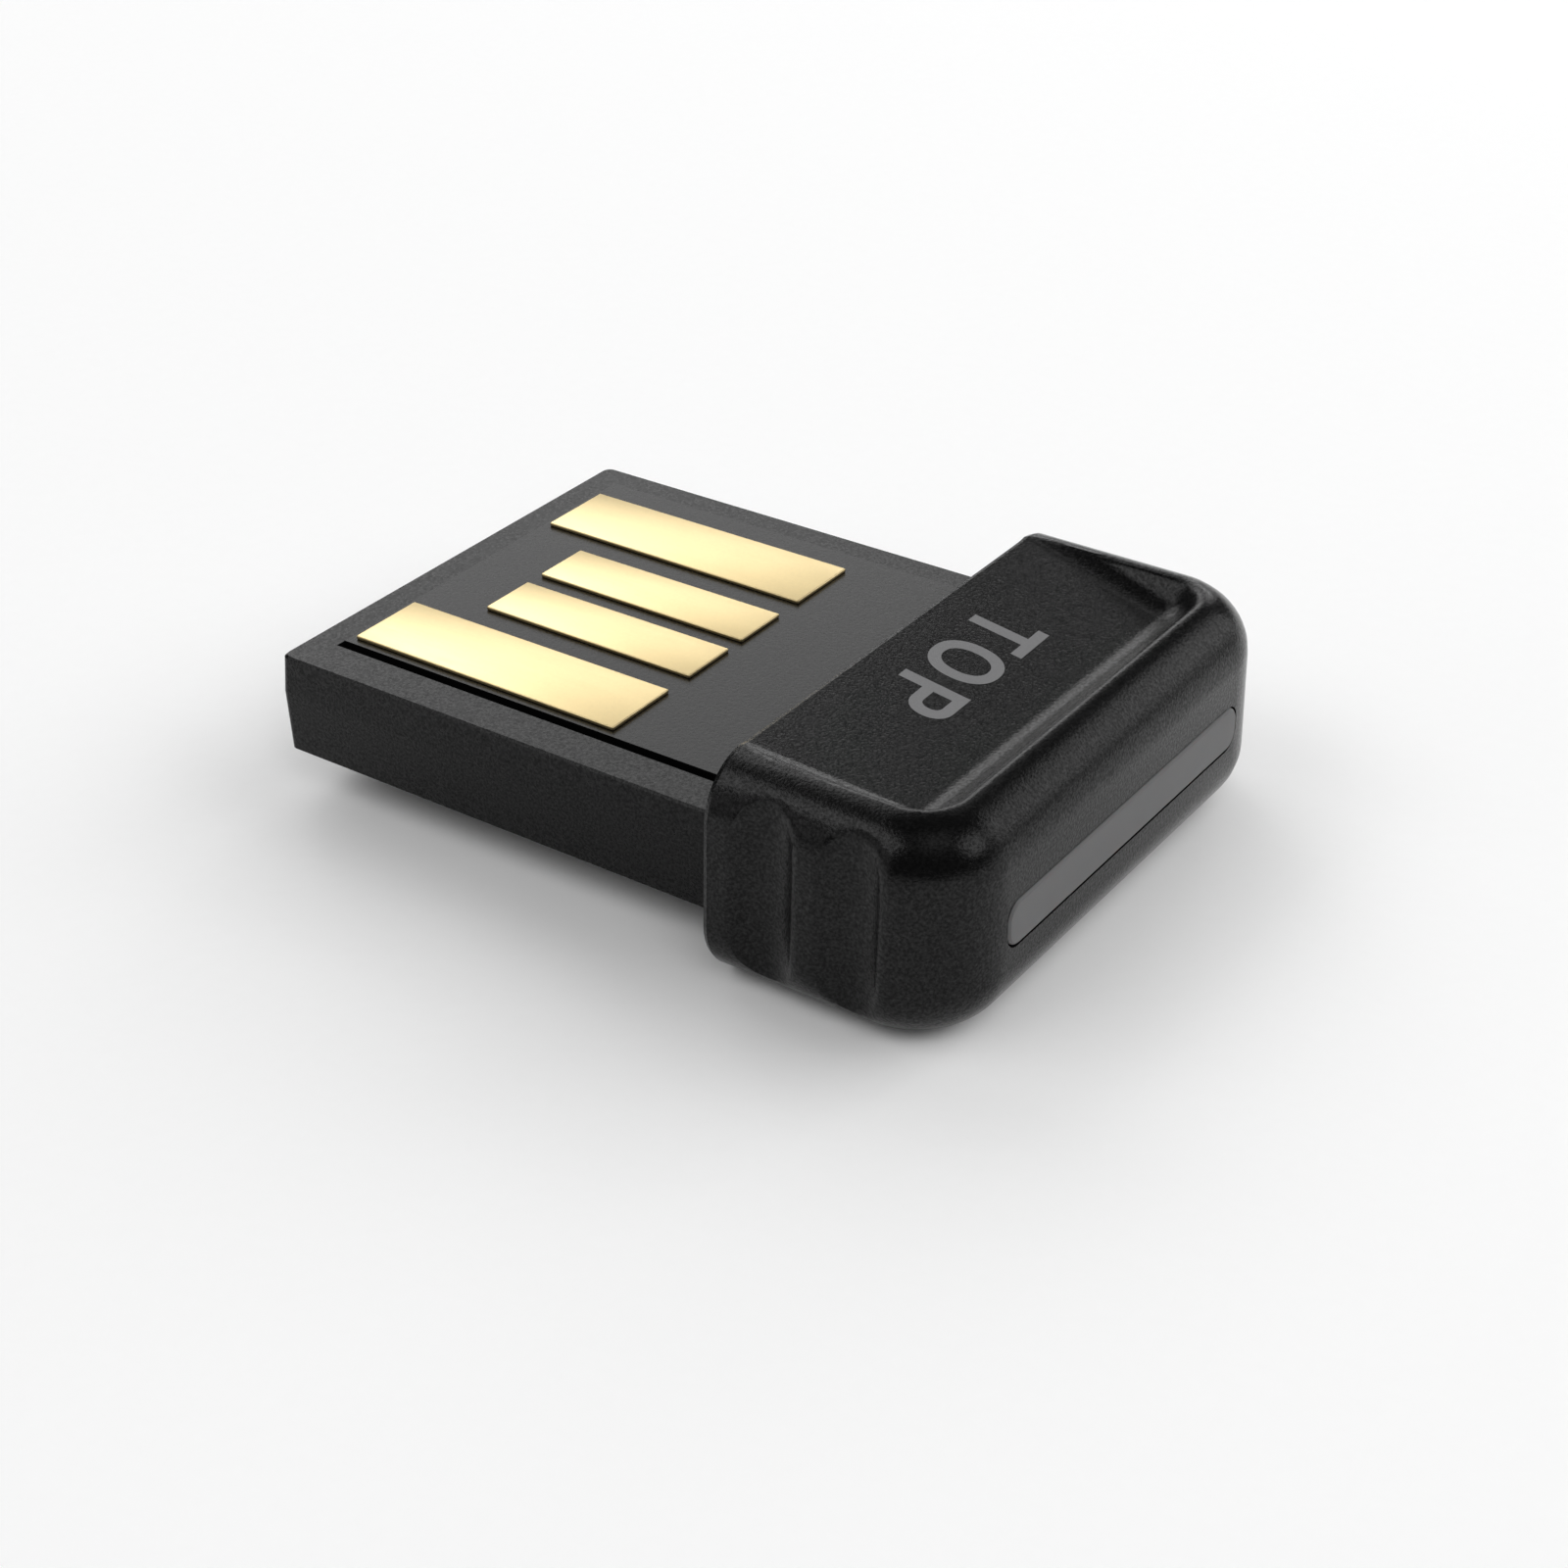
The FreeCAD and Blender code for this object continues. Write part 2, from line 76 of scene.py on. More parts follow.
class Signal:
    """A value, colour or vector on its way through a material's nodes."""

    def __init__(self, graph: "Graph", socket: bpy.types.NodeSocket) -> None:
        """Keeps the socket and the graph that it belongs to.

        Args:
            graph: the material's graph.
            socket: the socket that the signal comes out of.
        """
        self.graph = graph
        self.socket = socket

    def _maths(self, operation: str, left: "Signal | float", right: "Signal | float") -> "Signal":
        """Adds one Math node.

        Args:
            operation: the Math node's operation.
            left: its first value.
            right: its second value.

        Returns:
            The node's result.
        """
        return self.graph.node("ShaderNodeMath", {"operation": operation}, {0: left, 1: right})

    def __add__(self, other: "Signal | float") -> "Signal":
        """The sum."""
        return self._maths("ADD", self, other)

    def __radd__(self, other: float) -> "Signal":
        """The sum, with the number first."""
        return self._maths("ADD", other, self)

    def __sub__(self, other: "Signal | float") -> "Signal":
        """The difference."""
        return self._maths("SUBTRACT", self, other)

    def __rsub__(self, other: float) -> "Signal":
        """The difference, with the number first."""
        return self._maths("SUBTRACT", other, self)

    def __mul__(self, other: "Signal | float") -> "Signal":
        """The product."""
        return self._maths("MULTIPLY", self, other)

    def __rmul__(self, other: float) -> "Signal":
        """The product, with the number first."""
        return self._maths("MULTIPLY", other, self)


Value = Signal | float | tuple[float, ...]
Colour = tuple[float, float, float]


class Graph:
    """The node tree of one material, built from expressions."""

    def __init__(self, name: str) -> None:
        """Starts a material with an output and its object's coordinates.

        Args:
            name: the material's name.
        """
        self.material = bpy.data.materials.new(name)
        self.material.use_nodes = True
        self.tree = self.material.node_tree
        self.tree.nodes.clear()
        self.output = self.tree.nodes.new("ShaderNodeOutputMaterial")
        self.coordinates = self.node("ShaderNodeTexCoord", {}, {}, "Object")

    def node(
        self,
        kind: str,
        settings: dict[str, object],
        inputs: dict[int | str, Value],
        output: int | str = 0,
    ) -> Signal:
        """Adds a node of any type.

        Args:
            kind: the node's type.
            settings: the node's own properties, set before its sockets.
            inputs: the values or links of its sockets, by name or number.
            output: the socket that the result is read from.

        Returns:
            The chosen output.
        """
        made = self.tree.nodes.new(kind)
        for name, setting in settings.items():
            setattr(made, name, setting)
        for key, value in inputs.items():
            if isinstance(value, Signal):
                self.tree.links.new(value.socket, made.inputs[key])
            else:
                made.inputs[key].default_value = value
        return Signal(self, made.outputs[output])

    def noise(self, size: float, detail: float = 2.0, roughness: float = 0.5) -> Signal:
        """Noise whose features have a real size.

        Args:
            size: the features' size in metres.
            detail: how many finer layers are added.
            roughness: how strong the finer layers are.

        Returns:
            A value around one half.
        """
        return self.node(
            "ShaderNodeTexNoise",
            {"noise_dimensions": "3D"},
            {"Vector": self.coordinates, "Scale": 1 / size, "Detail": detail, "Roughness": roughness},
        )

    def mottled(self, factor: Signal, colour: Colour, share: float) -> Signal:
        """Varies a colour between a darker and a lighter form of itself.

        Args:
            factor: 0 for the darker form and 1 for the lighter.
            colour: the middle colour.
            share: how far each form departs from it.

        Returns:
            The varied colour.
        """
        low = tuple(part * (1 - share) for part in colour)
        high = tuple(min(1.0, part * (1 + share)) for part in colour)
        return self.node(
            "ShaderNodeMix",
            {"data_type": "RGBA", "clamp_factor": True},
            {"Factor": factor, MIX_LOW: (*low, 1), MIX_HIGH: (*high, 1)},
            MIX_RESULT,
        )

    def bump(self, height: Signal, depth: float) -> Signal:
        """Turns a height into a bumped normal.

        Args:
            height: the height, from 0 to 1.
            depth: the real depth of a height of 1, in metres.

        Returns:
            The normal.
        """
        return self.node("ShaderNodeBump", {}, {"Height": height, "Distance": depth, "Strength": 1.0})

    def finish(self, inputs: dict[int | str, Value]) -> bpy.types.Material:
        """Ends the tree in a Principled shader.

        Args:
            inputs: the shader's values and links, by socket name.

        Returns:
            The finished material.
        """
        shader = self.node("ShaderNodeBsdfPrincipled", {}, inputs)
        self.tree.links.new(shader.socket, self.output.inputs["Surface"])
        return self.material


class Finish(Protocol):
    """Anything that can make the material of a surface."""

    def make(self, name: str) -> bpy.types.Material:
        """Builds the material under a name."""


@dataclass(frozen=True)
class MouldedPlastic:
    """Black plastic from an eroded mould: a fine grain that breaks up a soft sheen."""

    colour: Colour
    roughness: float
    specular: float = 0.13
    sheen: float = 0.17
    sheen_roughness: float = 0.25
    sheen_spread: float = 1.3
    grain_mm: float = 0.065
    grain_depth_mm: float = 0.010
    cloud_mm: float = 2.2
    mottle: float = 0.25
    mottle_grain: float = 0.6
    cloud_share: float = 0.10
    grain_share: float = 0.15

    def make(self, name: str) -> bpy.types.Material:
        """Builds the material.

        Args:
            name: the material's name.

        Returns:
            The plastic.
        """
        graph = Graph(name)
        grain = graph.noise(self.grain_mm * MM, detail=2.0, roughness=0.6)
        clouds = graph.noise(self.cloud_mm * MM, detail=3.0, roughness=0.55)
        blotches = grain * self.mottle_grain + clouds * (1 - self.mottle_grain)
        shift = (clouds - 0.5) * self.cloud_share + (grain - 0.5) * self.grain_share
        return graph.finish({
            "Base Color": graph.mottled(blotches, self.colour, self.mottle),
            "Roughness": shift + self.roughness,
            "Specular IOR Level": self.specular,
            "Coat Weight": (grain - 0.5) * self.sheen_spread + self.sheen,
            "Coat Roughness": self.sheen_roughness,
            "Normal": graph.bump(grain, self.grain_depth_mm * MM),
        })


@dataclass(frozen=True)
class GoldPlate:
    """Thin gold over nickel, rolled flat, with faint rubbing along the plug."""

    colour: Colour = (0.82, 0.66, 0.355)
    roughness: float = 0.37
    rubbing_mm: float = 0.06
    rubbing_stretch: float = 0.06
    rubbing_share: float = 0.16
    pit_mm: float = 0.09
    pit_depth_mm: float = 0.0012
    mottle: float = 0.05

    def make(self, name: str) -> bpy.types.Material:
        """Builds the material.

        Args:
            name: the material's name.

        Returns:
            The gold.
        """
        graph = Graph(name)
        stretched = graph.node(
            "ShaderNodeMapping",
            {"vector_type": "POINT"},
            {"Vector": graph.coordinates, "Scale": (self.rubbing_stretch, 1.0, 1.0)},
        )
        rubbing = graph.node(
            "ShaderNodeTexNoise",
            {"noise_dimensions": "3D"},
            {"Vector": stretched, "Scale": 1 / (self.rubbing_mm * MM), "Detail": 3.0, "Roughness": 0.6},
        )
        pits = graph.noise(self.pit_mm * MM, detail=3.0, roughness=0.6)
        return graph.finish({
            "Base Color": graph.mottled(pits, self.colour, self.mottle),
            "Metallic": 1.0,
            "Roughness": (rubbing - 0.5) * self.rubbing_share + self.roughness,
            "Normal": graph.bump(pits * 0.5 + rubbing * 0.5, self.pit_depth_mm * MM),
        })


@dataclass(frozen=True)
class SolderMask:
    """Black lacquer over a woven board: a matt film with a faint weave beneath it."""

    colour: Colour
    roughness: float
    specular: float
    grain_mm: float = 0.08
    relief_mm: float = 0.006
    weave_per_mm: float = 0.12
    weave_share: float = 0.1
    grain_share: float = 0.12
    mottle: float = 0.2

    def make(self, name: str) -> bpy.types.Material:
        """Builds the material.

        Args:
            name: the material's name.

        Returns:
            The lacquer.
        """
        graph = Graph(name)
        grain = graph.noise(self.grain_mm * MM, detail=2.0, roughness=0.6)
        weave = graph.node(
            "ShaderNodeTexWave",
            {"wave_type": "BANDS", "bands_direction": "DIAGONAL"},
            {"Vector": graph.coordinates, "Scale": self.weave_per_mm / MM, "Distortion": 1.5, "Detail": 1.0},
            WAVE_FACTOR,
        )
        relief = grain * (1 - self.weave_share) + weave * self.weave_share
        return graph.finish({
            "Base Color": graph.mottled(grain, self.colour, self.mottle),
            "Roughness": (grain - 0.5) * self.grain_share + self.roughness,
            "Specular IOR Level": self.specular,
            "Normal": graph.bump(relief, self.relief_mm * MM),
        })


@dataclass(frozen=True)
class Diffuser:
    """Smoke grey plastic that spreads the lights behind it."""

    colour: Colour = (0.128, 0.128, 0.129)
    roughness: float = 0.5
    specular: float = 0.2
    glow: float = 0.08
    glow_mm: float = 0.3
    cloud_mm: float = 0.9
    grain_mm: float = 0.04
    grain_depth_mm: float = 0.0012
    grain_share: float = 0.08
    mottle: float = 0.04

    def make(self, name: str) -> bpy.types.Material:
        """Builds the material.

        Args:
            name: the material's name.

        Returns:
            The grey plastic.
        """
        graph = Graph(name)
        clouds = graph.noise(self.cloud_mm * MM, detail=2.0, roughness=0.5)
        grain = graph.noise(self.grain_mm * MM, detail=1.0, roughness=0.5)
        return graph.finish({
            "Base Color": graph.mottled(clouds, self.colour, self.mottle),
            "Roughness": (grain - 0.5) * self.grain_share + self.roughness,
            "Specular IOR Level": self.specular,
            "Subsurface Weight": self.glow,
            "Subsurface Scale": self.glow_mm * MM,
            "Normal": graph.bump(grain, self.grain_depth_mm * MM),
        })


@dataclass(frozen=True)
class PadPrint:
    """Grey ink pressed onto the plastic, a little uneven where the grain shows through."""

    colour: Colour = (0.18, 0.18, 0.183)
    roughness: float = 0.6
    specular: float = 0.15
    grain_mm: float = 0.055
    grain_depth_mm: float = 0.002
    grain_share: float = 0.1
    mottle: float = 0.1

    def make(self, name: str) -> bpy.types.Material:
        """Builds the material.

        Args:
            name: the material's name.

        Returns:
            The ink.
        """
        graph = Graph(name)
        grain = graph.noise(self.grain_mm * MM, detail=2.0, roughness=0.6)
        return graph.finish({
            "Base Color": graph.mottled(grain, self.colour, self.mottle),
            "Roughness": (grain - 0.5) * self.grain_share + self.roughness,
            "Specular IOR Level": self.specular,
            "Normal": graph.bump(grain, self.grain_depth_mm * MM),
        })


@dataclass(frozen=True)
class SmallPart:
    """The finish of an electronic part: fired ceramic, moulded epoxy, resin or a plated lid."""

    colour: Colour
    roughness: float
    metallic: float = 0.0
    grain_mm: float = 0.05
    grain_depth_mm: float = 0.003
    grain_share: float = 0.2
    mottle: float = 0.12

    def make(self, name: str) -> bpy.types.Material:
        """Builds the material.

        Args:
            name: the material's name.

        Returns:
            The part's finish.
        """
        graph = Graph(name)
        grain = graph.noise(self.grain_mm * MM, detail=3.0, roughness=0.6)
        return graph.finish({
            "Base Color": graph.mottled(grain, self.colour, self.mottle),
            "Metallic": self.metallic,
            "Roughness": (grain - 0.5) * self.grain_share + self.roughness,
            "Normal": graph.bump(grain, self.grain_depth_mm * MM),
        })


DYED_BLACK: Colour = (0.003, 0.003, 0.0031)
FINISHES: dict[str, Finish] = {
    "cap_plastic": MouldedPlastic(DYED_BLACK, 0.18),
    "carrier_plastic": MouldedPlastic(
        DYED_BLACK, 0.26, specular=0.09, sheen_spread=0.9, grain_depth_mm=0.004
    ),
    "board_mask": SolderMask(DYED_BLACK, 0.28, 0.22),
    "window_plastic": Diffuser(),
    "contact_gold": GoldPlate(),
    "chip_epoxy": SmallPart((0.025, 0.025, 0.027), 0.55),
    "can_metal": SmallPart((0.72, 0.71, 0.68), 0.28, 1.0, 0.12),
    "white_ceramic": SmallPart((0.72, 0.71, 0.68), 0.45),
    "dark_ceramic": SmallPart((0.05, 0.05, 0.055), 0.4),
    "tan_ceramic": SmallPart((0.42, 0.3, 0.2), 0.4),
    "led_resin": SmallPart((0.86, 0.84, 0.7), 0.2),
}


def dress(piece: bpy.types.Object, material: bpy.types.Material) -> None:
    """Gives an object one material in all its slots.

    Args:
        piece: the object.
        material: its finish.
    """
    if not piece.material_slots:
        piece.data.materials.append(material)
    for slot in piece.material_slots:
        slot.material = material


def start_clean() -> None:
    """Leaves object mode with nothing selected."""
    if bpy.context.mode != "OBJECT":
        bpy.ops.object.mode_set(mode="OBJECT")
    bpy.ops.object.select_all(action="DESELECT")


def take_hold(piece: bpy.types.Object) -> None:
    """Makes one object the only selected and the active one.

    Args:
        piece: the object.
    """
    start_clean()
    piece.select_set(True)
    bpy.context.view_layer.objects.active = piece


def settle(piece: bpy.types.Object) -> None:
    """Applies an object's place, turn and scale to its mesh."""
    take_hold(piece)
    bpy.ops.object.transform_apply(location=True, rotation=True, scale=True)


def smooth(piece: bpy.types.Object, degrees: float) -> None:
    """Shades an object smooth where its faces turn by less than an angle."""
    take_hold(piece)
    bpy.ops.object.shade_smooth_by_angle(angle=math.radians(degrees))


def apply_modifier(piece: bpy.types.Object, kind: str, settings: dict[str, object]) -> None:
    """Adds one modifier and applies it.

    Args:
        piece: the object.
        kind: the modifier's type.
        settings: the modifier's properties.
    """
    take_hold(piece)
    modifier = piece.modifiers.new(kind.title(), kind)
    for name, value in settings.items():
        setattr(modifier, name, value)
    bpy.ops.object.modifier_apply(modifier=modifier.name)


def pick_edges(piece: bpy.types.Object, test: Callable[[Vector, Vector], bool]) -> None:
    """Selects the edges whose two ends pass a test.

    Args:
        piece: the object, in edit mode.
        test: says of an edge's two ends whether it is taken.
    """
    bpy.ops.mesh.select_mode(type="EDGE")
    bpy.ops.mesh.select_all(action="DESELECT")
    mesh = bmesh.from_edit_mesh(piece.data)
    for edge in mesh.edges:
        if test(edge.verts[0].co, edge.verts[1].co):
            edge.select_set(True)
    mesh.select_flush_mode()
    bmesh.update_edit_mesh(piece.data)


def pick_points(piece: bpy.types.Object, test: Callable[[Vector], bool]) -> None:
    """Selects the corners that pass a test.

    Args:
        piece: the object, in edit mode.
        test: says of a corner's place whether it is taken.
    """
    bpy.ops.mesh.select_mode(type="VERT")
    bpy.ops.mesh.select_all(action="DESELECT")
    mesh = bmesh.from_edit_mesh(piece.data)
    for corner in mesh.verts:
        if test(corner.co):
            corner.select_set(True)
    mesh.select_flush_mode()
    bmesh.update_edit_mesh(piece.data)


def merged_copy(node_name: str) -> bpy.types.Object:
    """A free copy of a CAD node with its loose triangles merged into one skin.

    Args:
        node_name: the CAD node.

    Returns:
        The copy, as an object of its own.
    """
    copy = bpy.data.objects.new(node_name + "_softened", frame["nodes"][node_name].data.copy())
    bpy.context.scene.collection.objects.link(copy)
    take_hold(copy)
    bpy.ops.mesh.customdata_custom_splitnormals_clear()
    bpy.ops.object.mode_set(mode="EDIT")
    bpy.ops.mesh.select_all(action="SELECT")
    bpy.ops.mesh.remove_doubles(threshold=SAME_PLACE)
    bpy.ops.mesh.tris_convert_to_quads()
    bpy.ops.object.mode_set(mode="OBJECT")
    return copy


def stand_in(piece: bpy.types.Object, node_name: str) -> None:
    """Puts a softened copy in its CAD node's place.

    Args:
        piece: the copy.
        node_name: the CAD node.
    """
    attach(piece, BODY)
    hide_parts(node_name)


@dataclass
class Cap:
    """The grip cap, with the chamfer round its open end drawn out to catch the light."""

    slot: Slot = Slot.CAP
    chamfer_mm: float = 0.05
    chamfer_growth_mm: float = 0.06
    reach_mm: float = 0.002
    smooth_degrees: float = 17.0

    def build(self) -> list[bpy.types.Object]:
        """Makes a copy of the cap whose front chamfer is wider and shallower.

        Returns:
            The copy, alone in a list.
        """
        piece = merged_copy("grip_cap")
        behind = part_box("grip_cap")[0].x + self.chamfer_mm * MM
        take_hold(piece)
        bpy.ops.object.mode_set(mode="EDIT")
        pick_points(piece, lambda point: abs(point.x - behind) < self.reach_mm * MM)
        bpy.ops.transform.translate(value=(self.chamfer_growth_mm * MM, 0, 0))
        bpy.ops.object.mode_set(mode="OBJECT")
        smooth(piece, self.smooth_degrees)
        stand_in(piece, "grip_cap")
        return [piece]


@dataclass
class SoftenedParts:
    """Copies of small parts whose sharp edges are rolled over, as stamping and moulding leave them."""

    slot: Slot
    edge_mm: float
    nodes: tuple[str, ...]
    rounds: int = 3
    sharp_degrees: float = 40.0
    smooth_degrees: float = 35.0

    def build(self) -> list[bpy.types.Object]:
        """Makes a softened copy of each part in its place.

        Returns:
            The copies.
        """
        rolling = {
            "width": self.edge_mm * MM,
            "segments": self.rounds,
            "limit_method": "ANGLE",
            "angle_limit": math.radians(self.sharp_degrees),
        }
        pieces = []
        for node_name in self.nodes:
            piece = merged_copy(node_name)
            apply_modifier(piece, "BEVEL", rolling)
            smooth(piece, self.smooth_degrees)
            stand_in(piece, node_name)
            pieces.append(piece)
        return pieces


@dataclass
class Lettering:
    """The printed word that says which side goes up, in plain strokes.

    Each letter is drawn flat: reading along +X and upright towards +Y, with the word's middle at
    the origin and its foot at Y = 0. The word is then laid on the scoop's floor, upright towards
    the cap's end.
    """

    height_mm: float = 1.625
    upright_mm: float = 0.31
    level_mm: float = 0.275
    bar_mm: float = 1.235
    t_middle_mm: float = -1.66
    o_middle_mm: float = -0.07
    o_width_mm: float = 1.48
    o_overshoot_mm: float = 0.02
    o_fullness: float = 2.25
    o_steps: int = 64
    p_left_mm: float = 1.08
    p_width_mm: float = 1.2
    p_bowl_mm: float = 1.02
    p_fullness: float = 2.2
    p_steps: int = 32
    ink_mm: float = 0.012
    foot_mm: float = 0.962
    across_mm: float = 0.16
    skew_degrees: float = 0.9
    fall_degrees: float = 9.4
    floor_drop_mm: float = 0.03

    def block(self, left: float, right: float, low: float, high: float) -> bpy.types.Object:
        """A flat stroke between four lines.

        Args:
            left: its left side, in millimetres.
            right: its right side, in millimetres.
            low: its foot, in millimetres.
            high: its head, in millimetres.

        Returns:
            The stroke.
        """
        bpy.ops.mesh.primitive_plane_add(size=1)
        piece = bpy.context.object
        piece.scale = ((right - left) * MM, (high - low) * MM, 1)
        piece.location = ((left + right) / 2 * MM, (low + high) / 2 * MM, 0)
        settle(piece)
        return piece

    def draw_out(
        self,
        piece: bpy.types.Object,
        test: Callable[[Vector, Vector], bool],
        move: tuple[float, float],
    ) -> None:
        """Draws some of a stroke's edges out into a further stroke.

        Args:
            piece: the stroke.
            test: says of an edge's two ends whether it is taken.
            move: how far it is drawn out, in millimetres.
        """
        take_hold(piece)
        bpy.ops.object.mode_set(mode="EDIT")
        pick_edges(piece, test)
        bpy.ops.mesh.extrude_region_move(TRANSFORM_OT_translate={"value": (move[0] * MM, move[1] * MM, 0)})
        bpy.ops.object.mode_set(mode="OBJECT")

    def letter_t(self) -> bpy.types.Object:
        """A crossbar drawn out to both sides of the stem's head, and the stem below it.

        Returns:
            The letter's one flat stroke.
        """
        half = self.upright_mm / 2
        middle = self.t_middle_mm
        shoulder = self.height_mm - self.level_mm
        piece = self.block(middle - half, middle + half, shoulder, self.height_mm)
        for sign in (-1, 1):
            side = (middle + sign * half) * MM
            arm = sign * (self.bar_mm / 2 - half)
            self.draw_out(piece, lambda a, b: max(abs(a.x - side), abs(b.x - side)) < SAME_PLACE, (arm, 0))
        left = (middle - half) * MM - SAME_PLACE
        right = (middle + half) * MM + SAME_PLACE
        low = shoulder * MM + SAME_PLACE
        self.draw_out(
            piece,
            lambda a, b: max(a.y, b.y) < low and left < min(a.x, b.x) and max(a.x, b.x) < right,
            (0, -shoulder),
        )
        return piece

    def ring(
        self,
        name: str,
        middle: tuple[float, float],
        half: tuple[float, float],
        fullness: float,
        arc: tuple[float, float],
        steps: int,
    ) -> bpy.types.Object:
        """A rounded stroke round a middle, or a part of one.

        Args:
            name: the stroke's name.
            middle: its middle, in millimetres.
            half: its half width and half height, in millimetres.
            fullness: 2 for an ellipse, and more for squarer shoulders.
            arc: where it starts and ends, in degrees.
            steps: how many pieces it is made of.

        Returns:
            The flat stroke.
        """
        corners = []
        for inset in (0, 1):
            wide = half[0] - inset * self.upright_mm
            tall = half[1] - inset * self.level_mm
            for step in range(steps + 1):
                angle = math.radians(arc[0] + (arc[1] - arc[0]) * step / steps)
                x = math.copysign(abs(math.cos(angle)) ** (2 / fullness), math.cos(angle))
                y = math.copysign(abs(math.sin(angle)) ** (2 / fullness), math.sin(angle))
                corners.append(((middle[0] + wide * x) * MM, (middle[1] + tall * y) * MM, 0.0))
        row = steps + 1
        faces = [(step, step + 1, row + step + 1, row + step) for step in range(steps)]
        mesh = bpy.data.meshes.new(name)
        mesh.from_pydata(corners, [], faces)
        piece = bpy.data.objects.new(name, mesh)
        bpy.context.scene.collection.objects.link(piece)
        return piece

    def letter_o(self) -> bpy.types.Object:
        """A full round stroke that stands a little proud of its neighbours at head and foot.

        Returns:
            The flat ring.
        """
        middle = (self.o_middle_mm, self.height_mm / 2)
        half = (self.o_width_mm / 2, self.height_mm / 2 + self.o_overshoot_mm)
        return self.ring("letter_o", middle, half, self.o_fullness, (0, 360), self.o_steps)

    def letter_p(self) -> list[bpy.types.Object]:
        """A stem, and a bowl of two level strokes and a rounded end.

        Returns:
            The four flat strokes.
        """
        left = self.p_left_mm
        inner = left + self.upright_mm
        top = self.height_mm
        low = top - self.p_bowl_mm
        reach = self.p_bowl_mm / 2
        turn_x = left + self.p_width_mm - reach
        middle = (turn_x, top - reach)
        return [
            self.block(left, inner, 0, top),
            self.block(inner, turn_x, top - self.level_mm, top),
            self.block(inner, turn_x, low, low + self.level_mm),
            self.ring("letter_p_bowl", middle, (reach, reach), self.p_fullness, (-90, 90), self.p_steps),
        ]

    def join(self, strokes: list[bpy.types.Object]) -> bpy.types.Object:
        """Joins the strokes into one flat word that faces up.

        Args:
            strokes: the letters' strokes.

        Returns:
            The word.
        """
        start_clean()
        for stroke in strokes:
            stroke.select_set(True)
        word = strokes[0]
        bpy.context.view_layer.objects.active = word
        bpy.ops.object.join()
        word.name = "top_lettering"
        take_hold(word)
        bpy.ops.object.mode_set(mode="EDIT")
        bpy.ops.mesh.select_all(action="SELECT")
        bpy.ops.mesh.remove_doubles(threshold=SAME_PLACE)
        bpy.ops.mesh.normals_make_consistent(inside=False)
        bpy.ops.object.mode_set(mode="OBJECT")
        if word.data.polygons[0].normal.z < 0:
            bpy.ops.object.mode_set(mode="EDIT")
            bpy.ops.mesh.select_all(action="SELECT")
            bpy.ops.mesh.flip_normals()
            bpy.ops.object.mode_set(mode="OBJECT")
        return word

    def lay(self, word: bpy.types.Object) -> None:
        """Lays the word on the scoop's sloping floor.

        Args:
            word: the word, with its ink's thickness.
        """
        low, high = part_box("grip_cap")
        upright = Matrix.Rotation(-math.pi / 2 + math.radians(self.skew_degrees), 4, "Z")
        place = Matrix.Translation((self.foot_mm * MM, self.across_mm * MM, 0))
        slope = Matrix.Rotation(math.radians(self.fall_degrees), 4, "Y")
        edge = Matrix.Translation((low.x, 0, high.z - self.floor_drop_mm * MM))
        word.matrix_world = edge @ slope @ place @ upright
        settle(word)

    def build(self) -> bpy.types.Object:
        """Draws the word, gives it the ink's thickness and lays it on the scoop's floor.

        Returns:
            The printed word.
        """
        word = self.join([self.letter_t(), self.letter_o(), *self.letter_p()])
        apply_modifier(word, "SOLIDIFY", {"thickness": self.ink_mm * MM, "offset": 1.0})
        self.lay(word)
        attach(word, BODY)
        return word


@dataclass(frozen=True)
class Softbox:
    """A soft rectangular lamp, a fixed way off and aimed at the object's middle."""

    azimuth: float
    elevation: float
    width: float
    height: float
    brightness: float
    mirrored: bool = True
    distance: float = 0.5

    def build(self, name: str, target: Vector) -> bpy.types.Object:
        """Hangs the lamp.

        Args:
            name: the lamp's name.
            target: the point that it faces.

        Returns:
            The lamp.
        """
        turn = math.radians(self.azimuth)
        rise = math.radians(self.elevation)
        towards = Vector((math.cos(rise) * math.cos(turn), math.cos(rise) * math.sin(turn), math.sin(rise)))
        light = bpy.data.lights.new(name, "AREA")
        light.shape = "RECTANGLE"
        light.size = self.width
        light.size_y = self.height
        light.energy = math.pi * self.width * self.height * self.brightness
        lamp = bpy.data.objects.new(name, light)
        lamp.location = target + towards * self.distance
        lamp.rotation_euler = towards.to_track_quat("Z", "Y").to_euler()
        lamp.visible_glossy = self.mirrored
        bpy.context.scene.collection.objects.link(lamp)
        return lamp


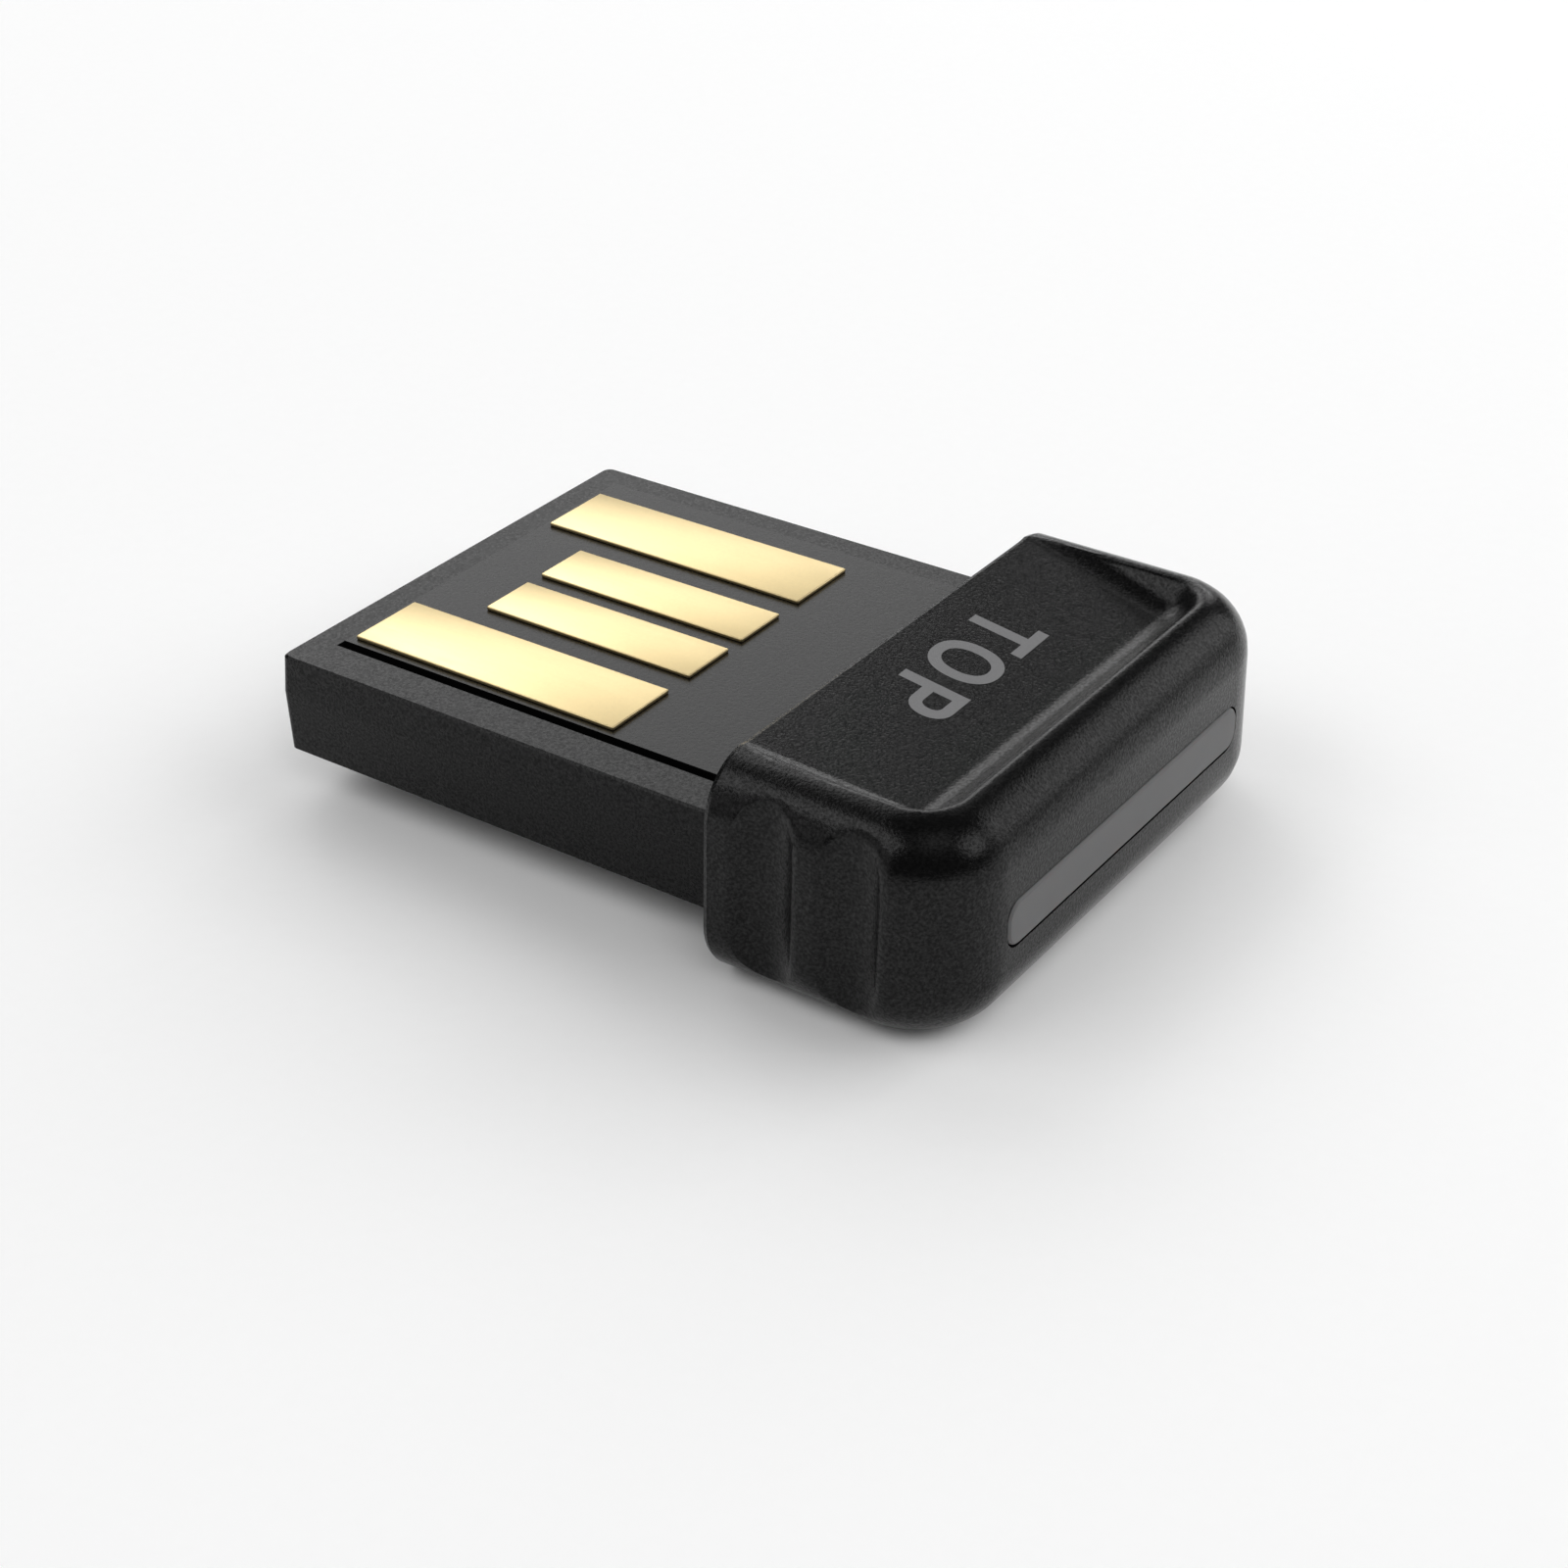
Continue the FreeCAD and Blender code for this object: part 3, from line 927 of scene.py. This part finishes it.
@dataclass
class Studio:
    """The pale floor, the lamps and the camera of the picture."""

    camera_mm: tuple[float, float, float] = (31.2386, -43.9070, 33.2883)
    azimuth: float = 35.07
    elevation: float = 31.587
    roll: float = -0.54
    lens_mm: float = 62.89
    sensor_mm: float = 36.0
    nearest: float = 0.001
    aim_mm: tuple[float, float, float] = (0.0, 0.0, 3.0)
    floor_side: float = 6.0
    floor_drop_mm: float = 0.02
    paper: Colour = (0.98, 0.98, 0.98)
    fibre_mm: float = 0.4
    paper_mottle: float = 0.01
    surround: float = 0.07

    def floor(self) -> bpy.types.Object:
        """A floor of white paper that keeps the object's soft shadow.

        Returns:
            The floor.
        """
        bpy.ops.mesh.primitive_plane_add(size=self.floor_side, location=(0, 0, -self.floor_drop_mm * MM))
        floor = bpy.context.object
        floor.name = "studio_floor"
        graph = Graph("studio_paper")
        fibres = graph.noise(self.fibre_mm * MM, detail=2.0, roughness=0.5)
        floor.data.materials.append(graph.finish({
            "Base Color": graph.mottled(fibres, self.paper, self.paper_mottle),
            "Roughness": 1.0,
            "Specular IOR Level": 0.0,
        }))
        return floor

    def world(self) -> None:
        """A dim, even white surround."""
        world = bpy.data.worlds.new("studio_air")
        world.use_nodes = True
        background = world.node_tree.nodes["Background"]
        background.inputs["Color"].default_value = (1, 1, 1, 1)
        background.inputs["Strength"].default_value = self.surround
        bpy.context.scene.world = world

    def softboxes(self) -> dict[str, Softbox]:
        """The lamps: boxes that the plastic mirrors, and fill that only lights.

        Returns:
            Each lamp by its name.
        """
        return {
            "back_box": Softbox(133, 26, 0.25, 0.24, 1.85),
            "back_low_box": Softbox(107, 18, 0.19, 0.12, 2.3),
            "back_high_box": Softbox(120, 48, 0.39, 0.20, 0.58),
            "left_back_box": Softbox(157, 42, 0.26, 0.31, 1.7),
            "left_box": Softbox(232, 48, 0.50, 0.21, 2.0),
            "left_low_box": Softbox(232, 18, 0.50, 0.21, 0.6),
            "right_back_box": Softbox(56, 24, 0.32, 0.25, 1.5),
            "right_low_box": Softbox(52, 6, 0.50, 0.10, 0.4),
            "right_front_box": Softbox(14, 34, 0.22, 0.24, 2.2),
            "front_high_box": Softbox(-30, 60, 0.25, 0.25, 0.5),
            "front_fill": Softbox(315, 45, 0.35, 0.35, 1.3, False),
            "back_fill": Softbox(90, 20, 0.35, 0.35, 1.3, False),
            "right_fill": Softbox(50, 34, 0.35, 0.55, 1.35, False),
        }

    def camera(self) -> bpy.types.Object:
        """Sets the camera from its turn round the object, its height and its roll.

        Returns:
            The camera.
        """
        turn, rise, roll = (math.radians(angle) for angle in (self.azimuth, self.elevation, self.roll))
        back = Vector((math.sin(turn) * math.cos(rise), -math.cos(turn) * math.cos(rise), math.sin(rise)))
        level = (-back).cross(Vector((0, 0, 1))).normalized()
        over = level.cross(-back)
        right = math.cos(roll) * level + math.sin(roll) * over
        up = math.cos(roll) * over - math.sin(roll) * level
        data = bpy.data.cameras.new("studio_camera")
        data.sensor_width = self.sensor_mm
        data.lens = self.lens_mm
        data.clip_start = self.nearest
        camera = bpy.data.objects.new("studio_camera", data)
        place = Matrix((right, up, back)).transposed().to_4x4()
        place.translation = Vector(self.camera_mm) * MM
        camera.matrix_world = place
        bpy.context.scene.collection.objects.link(camera)
        bpy.context.scene.camera = camera
        return camera

    def build(self) -> None:
        """Sets up the whole picture."""
        self.floor()
        self.world()
        self.camera()
        middle = Vector(self.aim_mm) * MM
        for name, softbox in self.softboxes().items():
            softbox.build(name, middle)
            LOG.info("lamp %s", name)
        bpy.context.scene.view_settings.view_transform = "Standard"


def main() -> None:
    """Builds the sub-assemblies in order and reports each."""
    materials = {slot: finish.make(slot) for slot, finish in FINISHES.items()}
    slot_of = {part["node"]: part["material_slot"] for part in frame["record"]["subparts"]}
    for name, node in frame["nodes"].items():
        dress(node, materials[slot_of[name]])
        LOG.info("%s takes %s", name, slot_of[name])
    contacts = ("ground_contact", "data_plus_contact", "data_minus_contact", "power_contact")
    for parts in (
        Cap(),
        SoftenedParts(Slot.CONTACT, 0.03, contacts),
        SoftenedParts(Slot.WINDOW, 0.05, ("light_window",)),
    ):
        for piece in parts.build():
            dress(piece, materials[parts.slot.value])
            LOG.info("built %s", piece.name)
    word = Lettering().build()
    dress(word, PadPrint().make("pad_print"))
    LOG.info("built %s", word.name)
    Studio().build()


if __name__ == "__main__":
    logging.basicConfig(level=logging.INFO, format="%(message)s")
    main()
